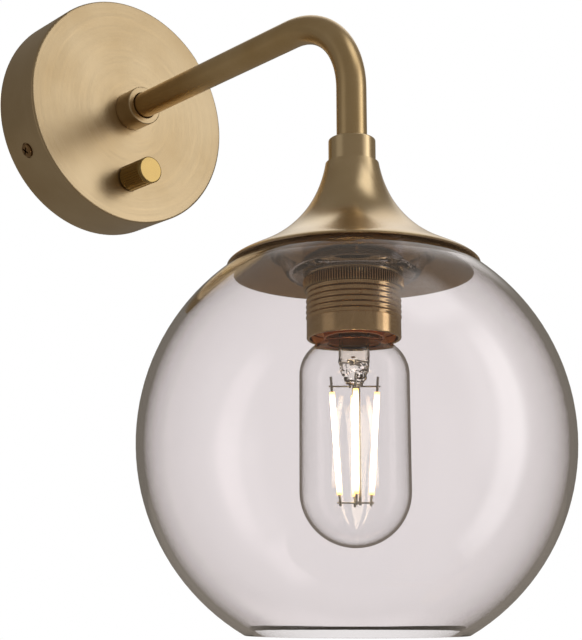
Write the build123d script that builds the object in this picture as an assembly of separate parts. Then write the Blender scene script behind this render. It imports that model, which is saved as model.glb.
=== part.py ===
"""Globe wall sconce: wall cup with a dimmer, bent arm, trumpet bell, threaded lampholder, globe and lamp.

Millimetres, +Z up.  The wall is the plane y = 0 and the arm leaves it along -Y from the origin.
Wall pieces are drawn in a wall frame: x to the right, y up, z straight out of the wall.
Lamp-head pieces are drawn about the drop axis, with z as in the whole model.
"""
import os
from math import cos, hypot, radians, sin, sqrt

from build123d import *

# ---------------------------------------------------------------- driving sizes
CLEAR = 0.05                 # running or sliding fit, on the radius
FREE = 0.3                   # gap between faces that pass each other freely

# wall cup and bracket
COVER_R = 60.0
COVER_DEPTH = 31.0
COVER_WALL = 1.2
COVER_EDGE = 1.0
BRACKET_T = 1.5
BRACKET_GAP = 1.8            # bracket tab to the cup's inside
TAB_WIDTH = 14.0
TAB_DEPTH = 20.0
TAB_ANGLES = (90, 210, 330)
EAR_STEP = 4.0               # bracket ears stand this far out of its disc
SLOT_SPACING = 60.0
SLOT_LENGTH = 12.0
SLOT_WIDTH = 4.5

# cup screws
SCREW_R = 2.0
SCREW_HEAD_R = 3.5
SCREW_HEAD_T = 1.9
SCREW_OUT = 15.5             # height of the screws above the wall
SCREW_REACH = 10.0
DIMPLE_DEPTH = 0.6
DIMPLE_R = 4.5

# cable entry
ENTRY_UP = 15.0
ENTRY_HOLE_R = 7.0
GROMMET_BORE_R = 4.5
GROMMET_FLANGE_R = 9.0
GROMMET_FLANGE_T = 2.5

# earth screw
EARTH_AT = (-23.0, 11.0)
EARTH_R = 2.0
EARTH_HEAD_R = 3.6
EARTH_HEAD_T = 2.0
EARTH_TAG_R = 4.2
EARTH_TAG_T = 0.8
EARTH_TAG_TAIL = (5.0, 2.6)
EARTH_TAG_REACH = 5.6        # middle of the tail from the screw
SCREW_END_GAP = 0.2          # screw ends stay this far inside the bracket's back
DRIVER_SLOT = 0.9

# terminal block
BLOCK_UP = 34.0
BLOCK_SIZE = (24.0, 17.0, 13.0)
POLE_PITCH = 11.0
BARREL_R = 2.6
BARREL_BORE_R = 1.3
BLOCK_EDGE = 1.5
CLAMP_R = 1.2
CLAMP_HEAD_STEP = 0.4        # clamp head over its shank, on the radius
CLAMP_HEAD_T = 1.6
CLAMP_HEAD_DROP = 1.2        # clamp head below the block's front
CLAMP_WELL_STEP = 0.6        # well round a clamp screw, on the radius
CLAMP_SLOT = (0.5, 0.7)
CLAMP_SPACING = 9.0
FIXING_R = 1.5
FIXING_HEAD_R = 2.7
FIXING_HEAD_T = 1.8
FIXING_WELL_R = 2.9
FIXING_WELL_DEPTH = 2.2
FIXING_SLOT = 0.7

# dimmer and its knob
DIMMER_UP = -37.0
DIMMER_SIZE = 26.0
DIMMER_ROOM = 12.0           # dimmer's back to the wall
DIMMER_WALL = 1.6
DIMMER_FRONT_WALL = 1.4
DIMMER_EDGE = 1.2
LID_T = 1.5
BOARD_T = 1.2
BUSH_R = 3.5
BUSH_FLANGE_R = 7.0
BUSH_FLANGE_T = 2.0
BUSH_OUT = 3.2               # bush length in front of the cup
BUSH_THREAD_DEPTH = 0.25
BUSH_THREAD_PITCH = 0.75
DIAL_WASHER_T = 0.5
DIAL_NUT_R = 5.4
DIAL_NUT_T = 2.0
DIAL_NUT_NOTCH = (1.2, 0.8)
SHAFT_R = 3.0
SHAFT_FLAT = 0.8
ROTOR_R = 8.5
ROTOR_T = 2.0
ROTOR_LIFT = 0.6             # rotor above the board
TAG_SPACING = 6.0
TAG_SIZE = (2.4, 5.0, 4.0)
TAG_DROP = 9.0               # dimmer centre to the lower edge of its tags
KNOB_R = 6.9
KNOB_LENGTH = 18.4
KNOB_GAP = 0.6
KNOB_FLUTES = 18
FLUTE_R = 0.75
FLUTE_DEPTH = 0.4
KNOB_RIM = 1.6               # plain ring at the knob's front
KNOB_GROOVE = 0.35
KNOB_EDGE = 0.7
KNOB_FOOT_EDGE = 0.4
KNOB_END_GAP = 0.2           # shaft's end to the socket's floor
KNOB_SOCKET_DEPTH = 14.5

# arm
TUBE_R = 6.5
TUBE_BORE_R = 4.9
ARM_REACH = 196.0            # wall to the drop axis
ARM_DROP = 72.2              # arm axis to the top of the bell
BEND_R = 38.0
COLLAR_R = 10.0
COLLAR_EDGE = 0.6
COLLAR_FLOOR = 2.5
WALL_COLLAR_LENGTH = 12.0
END_COLLAR_LENGTH = 10.5
COLLAR_GAP = 0.35            # dark gap between tube and collar
NIPPLE_R = 5.0
NIPPLE_BORE_R = 3.8
NIPPLE_GRIP = 10.0           # length screwed into the tube
NUT_FLATS = 14.0
NUT_T = 4.0
ARM_WASHER_R = 9.0
ARM_WASHER_T = 1.0
WASHER_NOTCHES = 12
WASHER_NOTCH = (0.8, 2.0)
NUT_TAIL = 1.8               # nipple thread that shows behind the nut

# wiring
LEAD_R = 0.95
LEAD_SIDE = 2.2              # side step between the three cores in the arm
LEAD_OUT = 8.0               # cores' height above the wall in the cup
LEAD_STRIP = 2.5             # core inside the terminal's barrel
LEAD_TURN = 8.0              # corner where a core turns to the arm, behind the nipple's end
EARTH_TURN = 3.0
EARTH_CROSSING = 9.0
LEAD_BEND = 5.0
TAG_RUN = 8.0                # straight core above a dimmer tag
EARTH_PLACE = 9.0            # earth lug behind the drop axis
EARTH_LUG_H = 3.0            # earth lug above the terminals

# bell
BELL_NECK_R = 11.3
BELL_RIM_R = 52.5
BELL_WALL = 1.0
BELL_NECK_PULL = (5.8, -34.6)
BELL_RIM_PULL = (-3.0, 5.0)
BELL_GLASS_GAP = 1.6         # bell's outer rim edge to the glass ball

# lampholder
SEAT_DROP = 45.3             # top of the bell to the seat of the glass
HOLDER_THREAD_R = 19.9
HOLDER_THREAD_DEPTH = 0.7
HOLDER_PITCH = 2.3
HOLDER_SKIRT_STEP = 0.4      # skirt inside the thread's crests
HOLDER_WALL = 1.7            # thread's crests to the bore
HOLDER_LENGTH = 30.5         # seat to the lower edge
HOLDER_SKIRT = 7.7
HOLDER_INSERT = 5.5          # sleeve inside the cap
CAP_BAND = 1.6               # cap outside the thread
CAP_RISE = 21.5
CAP_SHOULDER = 2.5           # boss's foot to the cap's top corner
CAP_WALL = 1.5
CAP_BOSS_R = 8.0
CAP_BOSS_H = 5.0
CAP_SLIT = 1.1
CAP_SLIT_H = 5.0
CAP_SLIT_ANGLE = -130.7
DIMPLE_ANGLE = -126.7
SLEEVE_DIMPLE_R = 0.9
SLEEVE_DIMPLE_DROP = 15.1
CORE_RECESS = 3.5            # lower edge of the sleeve to the copper rim
CORE_ROOM = 1.5              # lamp's tip to the core's floor
CORE_FLOOR = 3.0
CORE_WALL = 2.2              # wall round the wiring pocket, inside the sleeve's bore
CORE_RISE = 2.0              # core above the sleeve
SHELL_R = 13.5
SHELL_WALL = 0.5
SHELL_RIM_GAP = 0.6          # copper rim inside the sleeve's bore
SHELL_RIM_T = 1.0
SHELL_TOP_GAP = 1.0          # shell's top below the lamp's tip
RIVET_R = 1.2
TERMINAL_SIZE = (5.5, 7.0, 6.0)
TERMINAL_SIDE = 8.0
EARTH_LUG_SIDE = 4.0
CONTACT_R = 3.5

# shade ring and washers
RING_BAND = 1.1              # ring outside the thread
RING_H = 4.6
RING_TEETH = 118
RING_TOOTH = 0.35
RING_EDGE = 0.4
WASHER_BAND = 4.1            # washer outside the thread
WASHER_T = 1.0

# glass globe
GLOBE_R = 88.0
GLOBE_WALL = 3.0
GLOBE_CROWN = 15.5           # seat below the top of the whole ball
GLOBE_MOUTH_R = 44.0
GLOBE_LIP = 5.5              # flat lip outside the thread
GLOBE_FUNNEL = 6.1           # lip to the fold, on the radius
GLOBE_LIP_GAP = 0.45         # lip's hole to the thread
GLOBE_FOLD_ROUND = 4.0
GLOBE_LIP_ROUND = 0.4
GLOBE_RIM_ROUND = 0.9

# lamp, screw cap 27 mm
LAMP_R = 22.5
LAMP_LENGTH = 110.0
LAMP_WALL = 1.0
LAMP_SHOULDER = 15.0
LAMP_TURN = -41.9            # how the filaments happen to stand
LAMP_CAP_R = 13.1
LAMP_CAP_DEPTH = 0.9
LAMP_CAP_PITCH = 3.63
LAMP_CAP_LENGTH = 25.0       # tip to the cap's lower edge
LAMP_CAP_BORE_R = 11.7
LAMP_CAP_END_R = 8.5         # hole in the cap's turned-in end
LAMP_CAP_END_T = 0.6
LAMP_INSULATOR_H = 5.5
LAMP_TIP_R = 4.7
LAMP_TIP_H = 1.0
LAMP_NECK_R = 11.55
LAMP_NECK_RISE = 11.0        # glass neck inside the cap
LAMP_NECK_GAP = 0.5          # cap's edge to the shoulder's height
DRIVER_SIZE = (14.0, 1.2)
LAMP_SEAT = 5.0              # seat of the glass globe to the lamp's tip
STEM_R = 5.9
STEM_WALL = 1.0
STEM_FLARE = 8.0             # height of the flare at the neck
STEM_LENGTH = 16.5           # lamp cap to the pinch
PINCH_SIZE = (10.5, 5.0, 5.6)
ROD_R = 0.55
ROD_SIDE = 1.8
FILAMENT_R = 1.1
FILAMENT_LENGTH = 41.5
FILAMENT_TOP_R = 9.2
FILAMENT_FOOT_R = 6.4
FILAMENT_TAB = 3.2
WIRE_R = 0.35
WIRE_END = 1.2               # cross wire beyond its filament tab
WIRE_DROP = 0.8              # cross wires below the pinch

# ---------------------------------------------------------------- places worked out from the sizes
COVER_INSIDE = COVER_DEPTH - COVER_WALL
BRACKET_TAB_R = COVER_R - COVER_WALL - BRACKET_GAP
HEAD_SEAT_R = COVER_R - DIMPLE_DEPTH
HOLDER_SKIRT_R = HOLDER_THREAD_R - HOLDER_SKIRT_STEP
HOLDER_BORE_R = HOLDER_THREAD_R - HOLDER_WALL
HOLDER_ROOT_R = HOLDER_THREAD_R - HOLDER_THREAD_DEPTH
CORE_POCKET_R = HOLDER_BORE_R - CORE_WALL
SHELL_RIM_R = HOLDER_BORE_R - SHELL_RIM_GAP
CAP_R = HOLDER_THREAD_R + CAP_BAND
RING_R = HOLDER_THREAD_R + RING_BAND
WASHER_R = HOLDER_THREAD_R + WASHER_BAND
GLOBE_LIP_R = HOLDER_THREAD_R + GLOBE_LIP
GLOBE_FOLD_R = GLOBE_LIP_R + GLOBE_FUNNEL
BLOCK_BACK = BRACKET_T
BLOCK_FRONT = BRACKET_T + BLOCK_SIZE[2]
DIMMER_BACK = DIMMER_ROOM
TUBE_START = COVER_DEPTH + COLLAR_FLOOR
NUT_BACK = COVER_INSIDE - ARM_WASHER_T - NUT_T
NIPPLE_BACK = NUT_BACK - NUT_TAIL
COLLAR_TOP = -ARM_DROP + END_COLLAR_LENGTH
TUBE_END = -ARM_DROP + COLLAR_FLOOR
BELL_TOP = -ARM_DROP
SEAT = BELL_TOP - SEAT_DROP
GLOBE_Z = SEAT + GLOBE_CROWN - GLOBE_R
RING_TOP = SEAT - FREE / 3 - 2 * WASHER_T - GLOBE_WALL
HOLDER_TOP = SEAT + HOLDER_INSERT
HOLDER_BOTTOM = SEAT - HOLDER_LENGTH
CORE_BOTTOM = HOLDER_BOTTOM + CORE_RECESS + SHELL_RIM_T
CAP_TOP = SEAT + CAP_RISE
LAMP_TOP = SEAT - LAMP_SEAT
LAMP_BOTTOM = LAMP_TOP - LAMP_LENGTH
LAMP_CAP_BOTTOM = LAMP_TOP - LAMP_CAP_LENGTH
CORE_CEILING = LAMP_TOP + CORE_ROOM
TERMINAL_TOP = CORE_CEILING + CORE_FLOOR + TERMINAL_SIZE[2]
LEAD_POLE = POLE_PITCH / 2

BASE = (Align.CENTER, Align.CENTER, Align.MIN)


# ---------------------------------------------------------------- drawing helpers
def rod(radius, low, high, x=0.0, y=0.0):
    """Cylinder along z between two heights."""
    return Pos(x, y, low) * Cylinder(radius, high - low, align=BASE)


def tube(outer, inner, low, high, x=0.0, y=0.0):
    """Round pipe along z between two heights."""
    return rod(outer, low, high, x, y) - rod(inner, low, high, x, y)


def block(width, depth, low, high, x=0.0, y=0.0):
    """Box along z between two heights."""
    return Pos(x, y, low) * Box(width, depth, high - low, align=BASE)


def turned(outline):
    """Solid of revolution about z from (radius, height, corner radius) points."""
    points = [(radius, 0, height) for radius, height, _ in outline]
    corners = [corner for _, _, corner in outline]
    profile = FilletPolyline(*points, radius=corners, close=True)
    return revolve(make_face(profile), Axis.Z)


def hexagon(flats, bore, low, high):
    """Hexagon nut along z."""
    outline = RegularPolygon(flats / 2, 6, major_radius=False)
    nut = Pos(0, 0, low) * extrude(outline, high - low)
    corner_r = flats / sqrt(3)
    cut = 0.12 * flats / 2
    rounding = turned([
        (0, low, 0), (corner_r - cut, low, 0), (corner_r, low + cut, 0),
        (corner_r, high - cut, 0), (corner_r - cut, high, 0), (0, high, 0),
    ])
    return (nut & rounding) - rod(bore, low, high)


def rod_between(start, end, radius):
    """Cylinder from one point to another."""
    start = Vector(*start)
    end = Vector(*end)
    run = end - start
    return Plane(origin=start, z_dir=run) * Cylinder(radius, run.length, align=BASE)


def pipe_along(points, radii, radius):
    """Solid round bar along straight runs joined by tangent arcs."""
    path = FilletPolyline(*points, radius=radii)
    section = Plane(origin=path @ 0, z_dir=path % 0) * Circle(radius)
    return sweep(section, path=path)


def thread_points(crest, depth, pitch, low, high):
    """Outline of rounded thread ridges from low to high, as points for turned()."""
    count = int((high - low) / pitch)
    rounding = 0.22 * pitch
    points = [(crest - depth, low + 0.1 * pitch, 0)]
    for index in range(count):
        foot = low + index * pitch
        points.append((crest, foot + 0.6 * pitch, rounding))
        if index < count - 1:
            points.append((crest - depth, foot + 1.1 * pitch, rounding))
    return points


def on_wall(shape):
    """Wall frame to model frame: x right, y up, z out of the wall."""
    return Plane.XZ.location * shape


def on_drop(shape):
    """Drop axis to model frame."""
    return Pos(0, -ARM_REACH, 0) * shape


def radial(angle, height):
    """Place whose z runs outwards from the cup's axis."""
    return Pos(0, 0, height) * Rot(0, 0, angle) * Rot(0, 90, 0)


# ---------------------------------------------------------------- wall cup, bracket and screws
def wall_cover():
    cup = turned([
        (0, COVER_INSIDE, 0),
        (COVER_R - COVER_WALL, COVER_INSIDE, COVER_EDGE / 2),
        (COVER_R - COVER_WALL, 0, 0),
        (COVER_R, 0, 0),
        (COVER_R, COVER_DEPTH, COVER_EDGE),
        (0, COVER_DEPTH, 0),
    ])
    cup -= rod(NIPPLE_R + 4 * CLEAR, COVER_INSIDE, COVER_DEPTH)
    cup -= rod(BUSH_R + 2 * CLEAR, COVER_INSIDE, COVER_DEPTH, 0, DIMMER_UP)
    for angle in TAB_ANGLES:
        hole = rod(SCREW_R + 4 * CLEAR, COVER_R - 2 * COVER_WALL, COVER_R)
        dimple = Pos(0, 0, HEAD_SEAT_R) * Cone(SCREW_HEAD_R + 0.3, DIMPLE_R, 2 * DIMPLE_DEPTH, align=BASE)
        cup -= radial(angle, SCREW_OUT) * (hole + dimple)
    return cup


def wall_bracket():
    """Flat disc with three ears, its slots, and holes for the cable, the earth and the terminal block."""
    plate = rod(BRACKET_TAB_R - EAR_STEP, 0, BRACKET_T)
    for angle in TAB_ANGLES:
        ear = block(TAB_WIDTH, BRACKET_TAB_R / 2, 0, BRACKET_T, 0, 0.75 * BRACKET_TAB_R)
        plate += Rot(0, 0, angle - 90) * ear
    slot = extrude(SlotOverall(SLOT_LENGTH, SLOT_WIDTH), BRACKET_T)
    for side in (-1, 1):
        plate -= Pos(side * SLOT_SPACING / 2, 0, 0) * slot
    plate -= rod(ENTRY_HOLE_R, 0, BRACKET_T, 0, ENTRY_UP)
    plate -= rod(EARTH_R + CLEAR, 0, BRACKET_T, *EARTH_AT)
    plate -= rod(FIXING_R + CLEAR, 0, BRACKET_T, 0, BLOCK_UP)
    return plate


def bracket_tabs():
    """Three upright tabs on the ears, tapped for the cup's screws."""
    tabs = []
    for angle in TAB_ANGLES:
        tab = block(TAB_WIDTH, BRACKET_T, BRACKET_T, TAB_DEPTH, 0, BRACKET_TAB_R - BRACKET_T / 2)
        tapped = radial(angle, SCREW_OUT) * rod(SCREW_R + CLEAR, BRACKET_TAB_R - 2 * BRACKET_T, BRACKET_TAB_R)
        tabs.append(Rot(0, 0, angle - 90) * tab - tapped)
    return tabs


def cross_screw():
    """Pan-head screw along z, its head's underside at the cup's dimple."""
    head = turned([
        (0, HEAD_SEAT_R, 0), (SCREW_HEAD_R, HEAD_SEAT_R, 0),
        (SCREW_HEAD_R, HEAD_SEAT_R + SCREW_HEAD_T, 1.1), (0, HEAD_SEAT_R + SCREW_HEAD_T, 0),
    ])
    arm = block(4.2, 0.9, HEAD_SEAT_R + 0.7, HEAD_SEAT_R + SCREW_HEAD_T)
    recess = arm + Rot(0, 0, 90) * arm
    shank = rod(SCREW_R, HEAD_SEAT_R - SCREW_REACH, HEAD_SEAT_R)
    return Rot(0, 0, 45) * (head + shank - recess)


def cover_screws():
    return [radial(angle, SCREW_OUT) * cross_screw() for angle in TAB_ANGLES]


def cable_grommet():
    front = BRACKET_T + GROMMET_FLANGE_T
    body = turned([
        (GROMMET_BORE_R, 0, 0), (ENTRY_HOLE_R - CLEAR, 0, 0), (ENTRY_HOLE_R - CLEAR, BRACKET_T, 0),
        (GROMMET_FLANGE_R, BRACKET_T, 0), (GROMMET_FLANGE_R, front, 1.0), (GROMMET_BORE_R, front, 0.8),
    ])
    return Pos(0, ENTRY_UP, 0) * body


def earth_screw():
    seat = BRACKET_T + EARTH_TAG_T
    top = seat + EARTH_HEAD_T
    head = rod(EARTH_HEAD_R, seat, top)
    slot = block(3 * EARTH_HEAD_R, DRIVER_SLOT, top - DRIVER_SLOT, top)
    shank = rod(EARTH_R, SCREW_END_GAP, seat)
    return Pos(*EARTH_AT, 0) * (head + shank - slot)


def earth_tag():
    """Ring tag under the earth screw, with a crimp that grips the earth core."""
    ring = tube(EARTH_TAG_R, EARTH_R + CLEAR, BRACKET_T, BRACKET_T + EARTH_TAG_T)
    tail = block(*EARTH_TAG_TAIL, BRACKET_T, BRACKET_T + EARTH_TAG_T, EARTH_TAG_REACH, 0)
    return Pos(*EARTH_AT, 0) * (ring + tail)


# ---------------------------------------------------------------- terminal block
def pole_places():
    return (-LEAD_POLE, LEAD_POLE)


def terminal_block():
    width, height, _ = BLOCK_SIZE
    body = Pos(0, BLOCK_UP, BLOCK_BACK) * Box(width, height, BLOCK_SIZE[2], align=BASE)
    body = fillet(body.edges().filter_by(Axis.Z), BLOCK_EDGE)
    for x in pole_places():
        body -= Pos(x, BLOCK_UP, LEAD_OUT) * Rot(90, 0, 0) * Cylinder(BARREL_R + CLEAR, 2 * height)
        for side in (-1, 1):
            up = BLOCK_UP + side * CLAMP_SPACING / 2
            body -= rod(CLAMP_R + CLAMP_WELL_STEP, LEAD_OUT, BLOCK_FRONT, x, up)
    body -= rod(FIXING_R + 2 * CLEAR, BLOCK_BACK, BLOCK_FRONT, 0, BLOCK_UP)
    body -= rod(FIXING_WELL_R, BLOCK_FRONT - FIXING_WELL_DEPTH, BLOCK_FRONT, 0, BLOCK_UP)
    return body


def terminal_barrels():
    length = BLOCK_SIZE[1] - 1.0
    barrels = []
    for x in pole_places():
        barrel = Pos(x, BLOCK_UP, LEAD_OUT) * Rot(90, 0, 0) * Cylinder(BARREL_R, length)
        barrel -= Pos(x, BLOCK_UP, LEAD_OUT) * Rot(90, 0, 0) * Cylinder(BARREL_BORE_R, length)
        for side in (-1, 1):
            barrel -= rod(CLAMP_R + CLEAR, LEAD_OUT, BLOCK_FRONT, x, BLOCK_UP + side * CLAMP_SPACING / 2)
        barrels.append(barrel)
    return barrels


def terminal_screws():
    screws = []
    low = LEAD_OUT + LEAD_R + CLEAR
    high = BLOCK_FRONT - CLAMP_HEAD_DROP
    slot_width, slot_depth = CLAMP_SLOT
    for x in pole_places():
        for side in (-1, 1):
            up = BLOCK_UP + side * CLAMP_SPACING / 2
            head = rod(CLAMP_R + CLAMP_HEAD_STEP, high - CLAMP_HEAD_T, high, x, up)
            slot = block(4 * CLAMP_R, slot_width, high - slot_depth, high, x, up)
            screws.append(rod(CLAMP_R, low, high, x, up) + head - slot)
    return screws


def terminal_fixing_screw():
    seat = BLOCK_FRONT - FIXING_WELL_DEPTH
    top = seat + FIXING_HEAD_T
    head = rod(FIXING_HEAD_R, seat, top, 0, BLOCK_UP)
    slot = block(3 * FIXING_HEAD_R, FIXING_SLOT, (seat + top) / 2, top, 0, BLOCK_UP)
    return rod(FIXING_R, SCREW_END_GAP, seat, 0, BLOCK_UP) + head - slot


# ---------------------------------------------------------------- dimmer
def at_dimmer(shape):
    return Pos(0, DIMMER_UP, 0) * shape


def dimmer_case():
    front = COVER_INSIDE
    body = block(DIMMER_SIZE, DIMMER_SIZE, DIMMER_BACK, front)
    body = fillet(body.edges().filter_by(Axis.Z), DIMMER_EDGE)
    room = DIMMER_SIZE - 2 * DIMMER_WALL
    body -= block(room, room, DIMMER_BACK, front - BUSH_FLANGE_T - DIMMER_FRONT_WALL)
    body -= rod(BUSH_FLANGE_R + CLEAR, front - BUSH_FLANGE_T, front)
    body -= rod(SHAFT_R + FREE, DIMMER_BACK, front)
    return at_dimmer(body)


def dimmer_lid():
    return at_dimmer(block(DIMMER_SIZE, DIMMER_SIZE, DIMMER_BACK - LID_T, DIMMER_BACK))


def dimmer_board():
    size = DIMMER_SIZE - 2 * DIMMER_WALL - 2 * CLEAR
    low = DIMMER_BACK
    return at_dimmer(block(size, size, low, low + BOARD_T))


def dimmer_tags():
    width, height, depth = TAG_SIZE
    back = DIMMER_BACK - LID_T
    up = DIMMER_UP - TAG_DROP + DIMMER_SIZE / 2 + height / 2
    return [block(width, height, back - depth, back, side * TAG_SPACING, up) for side in (-1, 0, 1)]


def tag_point(x, above):
    """Point above the middle of a dimmer tag."""
    up = DIMMER_UP - TAG_DROP + DIMMER_SIZE / 2 + TAG_SIZE[1]
    return wall_point(x, up + above, DIMMER_BACK - LID_T - TAG_SIZE[2] / 2)


def dimmer_bush():
    front = COVER_DEPTH + BUSH_OUT
    outline = thread_points(BUSH_R, BUSH_THREAD_DEPTH, BUSH_THREAD_PITCH, COVER_DEPTH + 2 * CLEAR, front)
    body = turned([
        (SHAFT_R + CLEAR, COVER_INSIDE - BUSH_FLANGE_T, 0),
        (BUSH_FLANGE_R, COVER_INSIDE - BUSH_FLANGE_T, 0),
        (BUSH_FLANGE_R, COVER_INSIDE, 0),
        (BUSH_R, COVER_INSIDE, 0),
        *[(radius, height, 0) for radius, height, _ in outline],
        (BUSH_R - BUSH_THREAD_DEPTH, front, 0),
        (SHAFT_R + CLEAR, front, 0),
    ])
    return at_dimmer(body)


def dimmer_washer():
    return at_dimmer(tube(DIAL_NUT_R, BUSH_R + CLEAR, COVER_DEPTH, COVER_DEPTH + DIAL_WASHER_T))


def dimmer_nut():
    low = COVER_DEPTH + DIAL_WASHER_T
    nut = tube(DIAL_NUT_R, BUSH_R + CLEAR, low, low + DIAL_NUT_T)
    width, depth = DIAL_NUT_NOTCH
    notch = block(2 * DIAL_NUT_R, width, low + DIAL_NUT_T - depth, low + DIAL_NUT_T)
    return at_dimmer(nut - notch)


def dimmer_shaft():
    """Shaft with the rotor that wipes the dimmer's board, flatted where the knob grips it."""
    foot = DIMMER_BACK + BOARD_T + ROTOR_LIFT
    top = COVER_DEPTH + KNOB_GAP + KNOB_SOCKET_DEPTH - KNOB_END_GAP
    body = rod(SHAFT_R, foot, top) + rod(ROTOR_R, foot, foot + ROTOR_T)
    flat = block(2 * SHAFT_R, SHAFT_R, COVER_DEPTH + BUSH_OUT + FREE, top, 0, 1.5 * SHAFT_R - SHAFT_FLAT)
    return at_dimmer(body - flat)


def dimmer_knob():
    low = COVER_DEPTH + KNOB_GAP
    high = low + KNOB_LENGTH
    rim = high - KNOB_RIM
    groove = KNOB_GROOVE
    body = turned([
        (0, low, 0), (KNOB_R, low, KNOB_FOOT_EDGE), (KNOB_R, rim - groove, 0), (KNOB_R - groove, rim, 0),
        (KNOB_R, rim + groove, 0), (KNOB_R, high, KNOB_EDGE), (0, high, 0),
    ])
    centre = KNOB_R - FLUTE_DEPTH + FLUTE_R
    for index in range(KNOB_FLUTES):
        angle = radians(360 * index / KNOB_FLUTES)
        body -= rod(FLUTE_R, low - 1, rim - 2 * groove, centre * cos(angle), centre * sin(angle))
    body -= rod(DIAL_NUT_R + FREE, low, COVER_DEPTH + BUSH_OUT + FREE)
    socket = rod(SHAFT_R + CLEAR, low, low + KNOB_SOCKET_DEPTH)
    key = block(2 * SHAFT_R + 1, SHAFT_R, COVER_DEPTH + BUSH_OUT + 3 * FREE, low + KNOB_SOCKET_DEPTH,
                0, 1.5 * SHAFT_R - SHAFT_FLAT + CLEAR)
    return at_dimmer(body - (socket - key))


# ---------------------------------------------------------------- arm
def collar(floor, mouth):
    """Cup-shaped collar along z: a floor with the nipple's hole, and a bore that swallows the tube."""
    step = 1 if mouth > floor else -1
    ring = turned([
        (NIPPLE_R + CLEAR, floor, 0), (COLLAR_R, floor, COLLAR_EDGE),
        (COLLAR_R, mouth, COLLAR_EDGE), (TUBE_R + COLLAR_GAP, mouth, COLLAR_EDGE / 2),
        (TUBE_R + COLLAR_GAP, floor + step * COLLAR_FLOOR, 0),
        (NIPPLE_R + CLEAR, floor + step * COLLAR_FLOOR, 0),
    ])
    return ring


def arm_tube():
    route = [(0, -TUBE_START, 0), (0, -ARM_REACH, 0), (0, -ARM_REACH, TUBE_END)]
    body = pipe_along(route, [BEND_R], TUBE_R) - pipe_along(route, [BEND_R], TUBE_BORE_R)
    thread_r = NIPPLE_R + CLEAR
    depth = NIPPLE_GRIP + 1.0
    body -= on_wall(rod(thread_r, TUBE_START, TUBE_START + depth))
    body -= on_drop(rod(thread_r, TUBE_END, TUBE_END + depth))
    return body


def arm_nipple():
    return tube(NIPPLE_R, NIPPLE_BORE_R, NIPPLE_BACK, TUBE_START + NIPPLE_GRIP)


def arm_washer():
    ring = tube(ARM_WASHER_R, NIPPLE_R + CLEAR, NUT_BACK + NUT_T, COVER_INSIDE)
    for index in range(WASHER_NOTCHES):
        notch = block(*WASHER_NOTCH, NUT_BACK + NUT_T, COVER_INSIDE, 0, ARM_WASHER_R)
        ring -= Rot(0, 0, 360 * index / WASHER_NOTCHES) * notch
    return ring


def arm_nut():
    return hexagon(NUT_FLATS, NIPPLE_R + CLEAR, NUT_BACK, NUT_BACK + NUT_T)


def end_nipple():
    return tube(NIPPLE_R, NIPPLE_BORE_R, CAP_TOP - CAP_BOSS_H, TUBE_END + NIPPLE_GRIP)


def bell_nut():
    return hexagon(NUT_FLATS, NIPPLE_R + CLEAR, BELL_TOP - BELL_WALL - NUT_T, BELL_TOP - BELL_WALL)


# ---------------------------------------------------------------- leads
def wall_point(x, up, out):
    return (x, -out, up)


def live_lead():
    return pipe_along([
        wall_point(LEAD_POLE, BLOCK_UP - BLOCK_SIZE[1] / 2 + LEAD_STRIP, LEAD_OUT),
        wall_point(LEAD_POLE + 0.5, ENTRY_UP, LEAD_OUT),
        wall_point(TAG_SPACING + 4.0, -4.0, LEAD_OUT + 1.0),
        tag_point(TAG_SPACING, TAG_RUN),
        tag_point(TAG_SPACING, FREE),
    ], [LEAD_BEND] * 3, LEAD_R)


def arm_route(x, entry):
    """Points from the cup through the arm to the lampholder, after the entry points."""
    return [*entry, wall_point(x, 0, NIPPLE_BACK - LEAD_TURN), (x, -ARM_REACH, 0)]


def holder_ends(x, side):
    """Points where a core leaves the nipple and reaches the terminal on one side."""
    return [
        (x, -ARM_REACH, CAP_TOP - CAP_BOSS_H - 1.0),
        (side * TERMINAL_SIDE, -ARM_REACH, TERMINAL_TOP + 4.0),
        (side * TERMINAL_SIDE, -ARM_REACH, TERMINAL_TOP),
    ]


def neutral_lead():
    x = -LEAD_SIDE
    start = [
        wall_point(-LEAD_POLE, BLOCK_UP - BLOCK_SIZE[1] / 2 + LEAD_STRIP, LEAD_OUT),
        wall_point(-LEAD_POLE, 10.0, LEAD_OUT),
    ]
    points = arm_route(x, start) + holder_ends(x, -1)
    return pipe_along(points, [LEAD_BEND, LEAD_BEND, BEND_R, 2.0, 2.0], LEAD_R)


def switched_lead():
    x = LEAD_SIDE
    start = [
        tag_point(0, FREE),
        tag_point(0, TAG_RUN),
    ]
    points = arm_route(x, start) + holder_ends(x, 1)
    return pipe_along(points, [LEAD_BEND, LEAD_BEND, BEND_R, 2.0, 2.0], LEAD_R)


def earth_lead():
    tag_x, tag_up = EARTH_AT
    tag_face = BRACKET_T + EARTH_TAG_T + LEAD_R
    points = [
        wall_point(tag_x + 5.2, tag_up, tag_face),
        wall_point(tag_x + 10.0, tag_up, tag_face),
        wall_point(tag_x + 12.5, tag_up, LEAD_OUT + 2.5),
        wall_point(0, 8.0, NIPPLE_BACK - EARTH_CROSSING),
        wall_point(0, 0, NIPPLE_BACK - EARTH_TURN),
        (0, -ARM_REACH, 0),
        (0, -ARM_REACH, CAP_TOP - CAP_BOSS_H - 1.5),
        (0, -ARM_REACH + EARTH_PLACE, CAP_TOP - CAP_BOSS_H - 4.5),
        (0, -ARM_REACH + EARTH_PLACE, TERMINAL_TOP + EARTH_LUG_H),
    ]
    return pipe_along(points, [3.0, 3.0, LEAD_BEND, LEAD_BEND, BEND_R, 2.0, 2.0], LEAD_R)


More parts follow.
